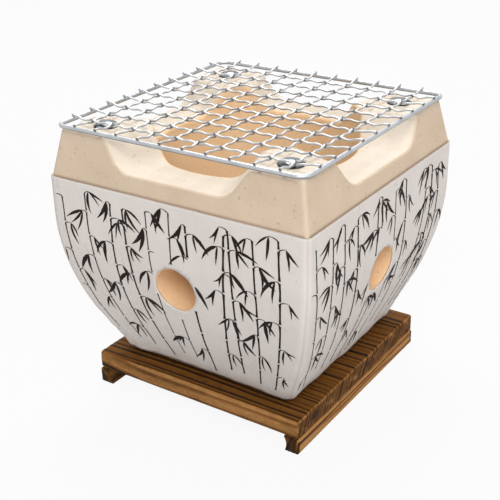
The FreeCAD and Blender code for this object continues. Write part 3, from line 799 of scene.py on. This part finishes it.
@dataclass
class InkPrint:
    """Leafy stalks in brush strokes, printed all over the paper."""

    wrap: PaperWrap
    stalks: int = 11
    seed: int = 41
    above: float = 0.0001
    margin: float = 0.0016
    inset: float = 0.004
    bare: float = 0.028
    joint_gap: float = 0.0011
    shortest: float = 0.004
    jitter: float = 0.16
    lean: float = 0.06
    stalk_width: Span = (0.00045, 0.0009)
    foot_clear: Span = (0.003, 0.018)
    top_clear: Span = (0.003, 0.008)
    section: Span = (0.0105, 0.0165)
    bare_chance: float = 0.5
    twig_width: float = 0.00035
    leaf_length: Span = (0.0080, 0.0145)
    leaf_share: Span = (0.052, 0.085)
    strokes: int = field(default=0, init=False)

    def build(self) -> Piece:
        """Make the print.

        Returns:
            The piece.
        """
        shape = bmesh.new()
        for side in Side:
            draw = random.Random(self.seed + side.value)
            for index in range(self.stalks):
                self.stalk(shape, side, draw, index)
        piece = new_piece("ink_print", shape, InkFinish().material(), "stove")
        LOG.info("ink_print: %d strokes", self.strokes)
        return piece

    def stalk(self, shape: Shape, side: Side, draw: random.Random, index: int) -> None:
        """One stalk with its joints, twigs and leaves.

        Args:
            shape: The print so far.
            side: Which side.
            draw: Source of the chance differences.
            index: Number of the stalk on this side.
        """
        span = self.wrap.form.reach(self.wrap.top) - self.inset
        place = index + 0.5 + draw.uniform(-self.jitter, self.jitter)
        across = -span + 2 * span * place / self.stalks
        lean = draw.uniform(-self.lean, self.lean)
        width = draw.uniform(*self.stalk_width)
        height = self.wrap.hem + draw.uniform(*self.foot_clear)
        end = self.wrap.top - draw.uniform(*self.top_clear)
        hand = draw.choice((-1, 1))
        while height < end - self.shortest:
            rise = min(draw.uniform(*self.section), end - height)
            start = Vector((across + lean * (height - self.wrap.hem), height))
            stop = Vector((start.x + lean * rise, height + rise - self.joint_gap))
            self.stroke(shape, side, start, stop, draw.uniform(-0.02, 0.02), width, Stroke.STALK)
            if height > self.wrap.hem + self.bare or draw.random() < self.bare_chance:
                self.spray(shape, side, draw, stop, hand)
            hand = -hand
            height += rise

    def spray(self, shape: Shape, side: Side, draw: random.Random, root: Vector, hand: int) -> None:
        """A twig with a few leaves.

        Args:
            shape: The print so far.
            side: Which side.
            draw: Source of the chance differences.
            root: Where the twig leaves its stalk.
            hand: Which way it grows.
        """
        tip = root + Vector((hand * draw.uniform(0.002, 0.0055), draw.uniform(0.0003, 0.0018)))
        self.stroke(shape, side, root, tip, 0.1 * hand, self.twig_width, Stroke.TWIG)
        for leaf in range(draw.choice((2, 2, 2, 3))):
            angle = math.radians(-92 + hand * (12 + 27 * leaf + draw.uniform(-9, 9)))
            length = draw.uniform(*self.leaf_length)
            end = tip + Vector((math.cos(angle), math.sin(angle))) * length
            width = length * draw.uniform(*self.leaf_share)
            self.stroke(shape, side, tip, end, draw.uniform(-0.12, 0.12), width, Stroke.LEAF)

    def stroke(self, shape: Shape, side: Side, start: Vector, stop: Vector, bend: float,
               width: float, kind: Stroke) -> None:
        """One brush stroke, left out where it would cross a vent or an edge of the paper.

        Args:
            shape: The print so far.
            side: Which side.
            start: Where it starts, across the side and up.
            stop: Where it ends.
            bend: Bow of the stroke as a share of its length.
            width: Half its greatest width.
            kind: How its width runs.
        """
        run = stop - start
        aside = Vector((-run.y, run.x))
        bow = [start + run * s + aside * (bend * 4 * s * (1 - s)) for s in (0, 0.25, 0.5, 0.75, 1)]
        vent = Vector((0, self.wrap.vent_level))
        wide = self.wrap.form.reach(self.wrap.top)
        low = self.wrap.hem + self.wrap.hem_span + self.margin
        for point in bow:
            if not low < point.y < self.wrap.top - self.margin or abs(point.x) > wide - self.margin:
                return
            if (point - vent).length < self.wrap.vent_radius + self.margin:
                return
        steps = 10 if kind is Stroke.LEAF else 6
        grid = bmesh.ops.create_grid(shape, x_segments=steps, y_segments=2, size=1.0)
        for vert in grid["verts"]:
            share = (vert.co.x + 1) / 2
            middle = start + run * share + aside * (bend * 4 * share * (1 - share))
            wobble = 1 + 0.22 * noise.noise(Vector((middle.x, middle.y, vert.co.y + side.value)) * 900)
            spot = middle + aside.normalized() * (vert.co.y * width * kind.width(share) * wobble)
            along = spot.x * self.wrap.form.reach(spot.y) / wide
            vert.co = self.wrap.outside(side, along, spot.y, self.above)
        first_face = grid["verts"][0].link_faces[0]
        outward = side.turn @ Vector((0, -1, 0))
        first_face.normal_update()
        if first_face.normal.dot(outward) < 0:
            faces = {face for vert in grid["verts"] for face in vert.link_faces}
            bmesh.ops.reverse_faces(shape, faces=list(faces))
        self.strokes += 1


class Run(Enum):
    """The axis that a piece of wood's grain runs along."""

    X = 0
    Y = 1


@dataclass
class WoodPiece:
    """A sawn piece with brushed grain, in the place of one solid of the base."""

    name: str
    node: str
    slot: str
    run: Run
    cuts: tuple[int, int, int]
    rounding: float
    heart: Span
    ring: float
    depth: float
    char: Callable[[Vector, Vector], float]
    finish: Material
    grain_seed: float = 0.0

    def rings(self, spot: Vector) -> float:
        """How hard the wood is at a point: 1 on the dark edge of a growth ring.

        Args:
            spot: The point.

        Returns:
            A share from 0 to 1.
        """
        far, across = (spot.x, spot.y) if self.run is Run.X else (spot.y, spot.x)
        seed = self.grain_seed
        warp = 0.0042 * noise.noise(Vector((far * 7 + seed, across * 11, spot.z * 11)))
        warp += 0.0007 * noise.noise(Vector((far * 24, across * 70 + seed, spot.z * 70)))
        reach = math.hypot(across - self.heart[0] + warp, spot.z - self.heart[1])
        reach += 0.8 * self.ring * noise.noise(Vector((reach * 130, seed, far * 1.5)))
        phase = (reach / self.ring) % 1.0
        strength = 0.55 + 0.45 * noise.cell(Vector((reach // self.ring, seed, 0.5)))
        shade = 0.3 * phase + 0.7 * smooth_step(phase, 0.46, 0.74)
        return shade * (1 - smooth_step(phase, 0.90, 1.0)) * min(max(strength, 0.35), 1.0)

    def blank(self, low: Vector, high: Vector) -> Shape:
        """The sawn piece with eased edges, before its grain is brushed.

        Args:
            low: Its lowest corner.
            high: Its highest corner.

        Returns:
            The shape.
        """
        size = high - low
        shape = bmesh.new()
        bmesh.ops.create_cube(shape, size=1.0)
        bmesh.ops.scale(shape, vec=size, verts=shape.verts)
        bmesh.ops.translate(shape, vec=(low + high) / 2, verts=shape.verts)
        bmesh.ops.bevel(shape, geom=shape.edges[:], offset=self.rounding, offset_type="OFFSET", segments=3,
                        profile=0.5, affect="EDGES", material=-1)
        for axis in range(3):
            long_edges = [
                edge for edge in shape.edges
                if abs(edge.verts[0].co[axis] - edge.verts[1].co[axis]) > size[axis] * 0.4
            ]
            bmesh.ops.subdivide_edges(shape, edges=long_edges, cuts=self.cuts[axis], use_grid_fill=True)
        return shape

    def build(self) -> Piece:
        """Make the piece.

        Returns:
            The piece.
        """
        shape = self.blank(*(Vector(corner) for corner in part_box(self.node)))
        shape.normal_update()
        grain = shape.verts.layers.float.new("grain")
        char = shape.verts.layers.float.new("char")
        for vert in shape.verts:
            hard = self.rings(vert.co)
            vert[grain] = hard
            vert[char] = self.char(vert.co, vert.normal)
        for vert, normal in [(v, v.normal.copy()) for v in shape.verts]:
            chip = 0.35 * max(noise.noise(vert.co * 240), 0)
            vert.co = vert.co - normal * self.depth * ((1 - vert[grain]) * 0.8 + chip)
        piece = new_piece(self.name, shape, self.finish, "base")
        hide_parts(self.node)
        return piece


@dataclass
class CleatPiece(WoodPiece):
    """A cleat: a bar with a shallow cove along its inner side."""

    cove: float = 0.009
    waist: float = 0.0014
    level: float = 0.0036

    def blank(self, low: Vector, high: Vector) -> Shape:
        """The coved bar, cut finely along and across.

        Args:
            low: Its lowest corner.
            high: Its highest corner.

        Returns:
            The shape.
        """
        outer, inner = (low.x, high.x) if low.x < 0 else (high.x, low.x)
        hand = math.copysign(1, outer)
        shape = bmesh.new()
        inset = self.cove - self.waist
        middle = Vector((inner - hand * inset, low.y, low.z + self.level))
        top_turn, low_turn = math.acos(inset / self.cove), math.asin(-self.level / self.cove)
        start = shape.verts.new((inner, low.y, middle.z + self.cove * math.sin(top_turn)))
        bmesh.ops.spin(shape, geom=[start], cent=middle, axis=(0, 1, 0), angle=hand * (top_turn - low_turn),
                       steps=8)
        arc = sorted(shape.verts, key=lambda vert: -vert.co.z)
        rest = [shape.verts.new((x, low.y, z)) for x, z in
                ((outer, low.z), (outer, high.z), (inner, high.z))]
        for pair in zip([arc[-1]] + rest, rest + [arc[0]]):
            shape.edges.new(pair)
        bmesh.ops.bevel(shape, geom=rest[:2], offset=self.rounding, offset_type="OFFSET", segments=3,
                        profile=0.5, affect="VERTICES", material=-1)
        long_edges = [edge for edge in shape.edges if edge.calc_length() > self.rounding * 2]
        bmesh.ops.subdivide_edges(shape, edges=long_edges, cuts=self.cuts[0])
        end = bmesh.ops.contextual_create(shape, geom=shape.edges[:])["faces"]
        moved = bmesh.ops.extrude_face_region(shape, geom=end, use_keep_orig=True)["geom"]
        far = [item for item in moved if isinstance(item, bmesh.types.BMVert)]
        bmesh.ops.translate(shape, vec=(0, high.y - low.y, 0), verts=far)
        along = [e for e in shape.edges if abs(e.verts[0].co.y - e.verts[1].co.y) > self.rounding * 2]
        bmesh.ops.subdivide_edges(shape, edges=along, cuts=self.cuts[1], use_grid_fill=True)
        bmesh.ops.recalc_face_normals(shape, faces=shape.faces)
        return shape


@dataclass
class WoodBase:
    """Burnt, brushed board on two cleats, nailed from below."""

    nail_count: int = 4
    board_finish: WoodFinish = WoodFinish("burnt_wood_finish")
    cleat_finish: WoodFinish = WoodFinish("raw_wood_finish", along=(1.0, 0.06, 1.0), fleck=(1.0, 0.5, 1.0))

    @staticmethod
    def board_char(spot: Vector, normal: Vector) -> float:
        """How burnt the board is: dark on top and on the end grain, worn at the edges.

        Args:
            spot: The point.
            normal: Its direction outwards.

        Returns:
            A share, over 1 where it is sooty.
        """
        flat = max(abs(normal.x), abs(normal.y), abs(normal.z))
        wear_and_shade = smooth_step(flat, 0.80, 0.98)
        streak = 0.5 + 0.5 * noise.noise(Vector((spot.x * 14, spot.y * 60, spot.z * 200)))
        if abs(normal.z) > FACING:
            return 0.2 + 0.8 * wear_and_shade
        if abs(normal.x) > FACING:
            patch = noise.noise(Vector((spot.y * 110, spot.z * 170, 2.0)))
            return (0.2 + 0.7 * wear_and_shade) * (1 + 1.2 * patch)
        split = abs(spot.z - 0.0118 + 0.11 * (spot.x + 0.0665))
        scorch = smooth_step(split, 0.0011, 0.0003) if spot.x < -0.040 and spot.y < 0 else 0.0
        return 0.1 + 0.45 * streak + 1.2 * scorch

    @staticmethod
    def cleat_char(spot: Vector, normal: Vector) -> float:
        """How burnt a cleat is: dark on its ends and its inner face.

        Args:
            spot: The point.
            normal: Its direction outwards.

        Returns:
            A share, over 1 where it is sooty.
        """
        inner = normal.x * spot.x < 0
        if abs(normal.y) > FACING:
            return 1.45
        if inner and abs(normal.x) > 0.5:
            return 0.7
        return 0.08 + 0.85 * smooth_step(abs(spot.z - 0.0063), 0.0008, 0.0003)

    def build(self) -> list[Piece]:
        """Make the board and both cleats, and dress the nails.

        Returns:
            The pieces.
        """
        board = WoodPiece(
            "brushed_board", "base_board", "burnt_wood", Run.X, (44, 300, 14), 0.0016, (0.105, -0.045),
            0.0034, 0.00028, self.board_char, self.board_finish.material())
        pieces = [board.build()]
        finish = self.cleat_finish.material()
        for hand, heart, seed in (("left", 0.030, 3.1), ("right", -0.034, 7.7)):
            cleat = CleatPiece(
                f"sawn_cleat_{hand}", f"base_cleat_{hand}", "raw_wood", Run.Y, (20, 60, 0), 0.0008,
                (heart, 0.05), 0.0031, 0.0002, self.cleat_char, finish, seed)
            pieces.append(cleat.build())
        steel = SteelFinish("nail_finish", dull=srgb(128, 124, 118), rough_low=0.35).material()
        for number in range(1, self.nail_count + 1):
            dress(f"base_nail_{number}", steel)
        return pieces


@dataclass
class Stove:
    """Clay body with its studs, paper and print."""

    form: BodyForm = BodyForm()
    stud_count: int = 4

    def build(self) -> list[Piece]:
        """Dress the clay and the studs, and make the paper and its print.

        Returns:
            The pieces.
        """
        dress("clay_body", ClayFinish().material())
        # The stud's dark colour is its painted shade round the edge
        chrome = StudFinish("stud_finish", bright=srgb(140, 145, 150), dull=srgb(112, 116, 120),
                            dark=srgb(48, 50, 52), rough_low=0.08, rough_span=0.15)
        finish = chrome.material()
        for number in range(1, self.stud_count + 1):
            dress(f"rim_stud_{number}", finish)
        wrap = PaperWrap(self.form)
        return [wrap.build(), InkPrint(wrap).build()]


@dataclass
class WireNet:
    """Crimped net in its square frame."""

    wires: int = 10

    def build(self) -> None:
        """Dress the frame and the wires."""
        # The frame keeps the default dark colour for its painted shade underneath
        bar = FrameFinish("frame_finish", bright=srgb(196, 199, 202), dull=srgb(170, 173, 177),
                          rough_low=0.28)
        dress("net_frame", bar.material())
        # The wire's dark colour is its painted shade at the crossings and the ends
        wire = WireFinish("wire_finish", bright=srgb(198, 201, 204), dull=srgb(178, 181, 184),
                          dark=srgb(92, 94, 96), rough_low=0.40, rough_span=0.2, mark_scale=1100.0)
        finish = wire.material()
        for letter in "xy":
            for number in range(1, self.wires + 1):
                dress(f"net_wire_{letter}_{number:02d}", finish)


@dataclass
class Studio:
    """White floor, soft light from above and a long lens."""

    place: Place = (0.2762, -0.4152, 0.3082)
    azimuth: float = 34.212
    elevation: float = 25.242
    roll: float = -1.197
    lens: float = 70.26
    sensor: float = 36.0
    floor_half: float = 4.0
    floor_paint: float = 0.55
    floor_glow: float = 0.92
    sky: float = 0.40
    aim: Place = (0.0, 0.0, 0.08)
    lamps: tuple[tuple[str, Place, float, float], ...] = (
        ("front_softbox", (0.73, -1.08, 1.17), 0.9, 14.3),
        ("back_softbox", (-0.48, 0.70, 1.55), 0.9, 19.5),
        ("right_softbox", (1.34, -0.36, 1.05), 0.9, 5.0),
    )

    def camera(self) -> None:
        """Set the camera at the photograph's angle."""
        turn, tilt, roll = (math.radians(a) for a in (self.azimuth, self.elevation, self.roll))
        back = Vector((math.sin(turn) * math.cos(tilt), -math.cos(turn) * math.cos(tilt), math.sin(tilt)))
        right = Vector((math.cos(turn), math.sin(turn), 0))
        up = back.cross(right)
        level = right * math.cos(roll) + up * math.sin(roll)
        crown = up * math.cos(roll) - right * math.sin(roll)
        data = bpy.data.cameras.new("camera")
        data.lens = self.lens
        data.sensor_width = self.sensor
        eye = bpy.data.objects.new("camera", data)
        eye.matrix_world = Matrix.Translation(self.place) @ Matrix((level, crown, back)).transposed().to_4x4()
        bpy.context.scene.collection.objects.link(eye)
        bpy.context.scene.camera = eye

    @staticmethod
    def seen(tree: bpy.types.NodeTree) -> Socket:
        """1 for what the camera, a mirror or glass sees, 0 for light.

        Args:
            tree: The node tree.

        Returns:
            The share.
        """
        path = tree.nodes.new("ShaderNodeLightPath")
        total = path.outputs["Is Camera Ray"]
        for name in ("Is Glossy Ray", "Is Transmission Ray"):
            either = tree.nodes.new("ShaderNodeMath")
            either.operation = "MAXIMUM"
            tree.links.new(total, either.inputs[0])
            tree.links.new(path.outputs[name], either.inputs[1])
            total = either.outputs[0]
        return total

    def floor(self) -> None:
        """Make the floor."""
        shape = bmesh.new()
        bmesh.ops.create_grid(shape, x_segments=1, y_segments=1, size=self.floor_half)
        mesh = bpy.data.meshes.new("studio_floor")
        shape.to_mesh(mesh)
        shape.free()
        material = bpy.data.materials.new("floor_finish")
        material.use_nodes = True
        tree = material.node_tree
        tree.nodes.clear()
        paint = tree.nodes.new("ShaderNodeBsdfDiffuse")
        paint.inputs["Color"].default_value = (self.floor_paint,) * 3 + (1.0,)
        glow = tree.nodes.new("ShaderNodeEmission")
        blend = tree.nodes.new("ShaderNodeMixShader")
        share = tree.nodes.new("ShaderNodeMath")
        share.operation = "MULTIPLY"
        share.inputs[1].default_value = self.floor_glow
        tree.links.new(self.seen(tree), share.inputs[0])
        tree.links.new(share.outputs[0], blend.inputs[0])
        tree.links.new(paint.outputs[0], blend.inputs[1])
        tree.links.new(glow.outputs[0], blend.inputs[2])
        tree.links.new(blend.outputs[0], tree.nodes.new("ShaderNodeOutputMaterial").inputs["Surface"])
        mesh.materials.append(material)
        floor = bpy.data.objects.new("studio_floor", mesh)
        bpy.context.scene.collection.objects.link(floor)

    def sky_light(self) -> None:
        """Light the scene evenly, and show white behind it."""
        world = bpy.data.worlds.new("studio_sky")
        bpy.context.scene.world = world
        world.use_nodes = True
        tree = world.node_tree
        tree.nodes.clear()
        light = tree.nodes.new("ShaderNodeBackground")
        light.inputs["Strength"].default_value = self.sky
        light.inputs["Color"].default_value = (1.0, 1.0, 1.0, 1.0)
        white = tree.nodes.new("ShaderNodeBackground")
        white.inputs["Color"].default_value = (1.0, 1.0, 1.0, 1.0)
        blend = tree.nodes.new("ShaderNodeMixShader")
        tree.links.new(self.seen(tree), blend.inputs[0])
        tree.links.new(light.outputs[0], blend.inputs[1])
        tree.links.new(white.outputs[0], blend.inputs[2])
        tree.links.new(blend.outputs[0], tree.nodes.new("ShaderNodeOutputWorld").inputs["Surface"])

    def softboxes(self) -> None:
        """Hang the soft lamps, turned to the grill."""
        aim = Vector(self.aim)
        for name, place, size, power in self.lamps:
            data = bpy.data.lights.new(name, "AREA")
            data.shape = "DISK"
            data.size = size
            data.energy = power
            lamp = bpy.data.objects.new(name, data)
            lamp.location = place
            lamp.rotation_euler = (aim - Vector(place)).to_track_quat("-Z", "Y").to_euler()
            bpy.context.scene.collection.objects.link(lamp)

    def build(self) -> None:
        """Set the stage."""
        self.camera()
        self.floor()
        self.sky_light()
        self.softboxes()
        bpy.context.scene.view_settings.view_transform = "Standard"


def main() -> None:
    """Build the studio and every piece."""
    logging.basicConfig(level=logging.INFO)
    Studio().build()
    pieces = WoodBase().build() + Stove().build()
    WireNet().build()
    dress("fire_grate", IronFinish().material())
    for piece in pieces:
        LOG.info("%s: %d faces", piece.name, len(piece.data.polygons))


if __name__ == "__main__":
    main()
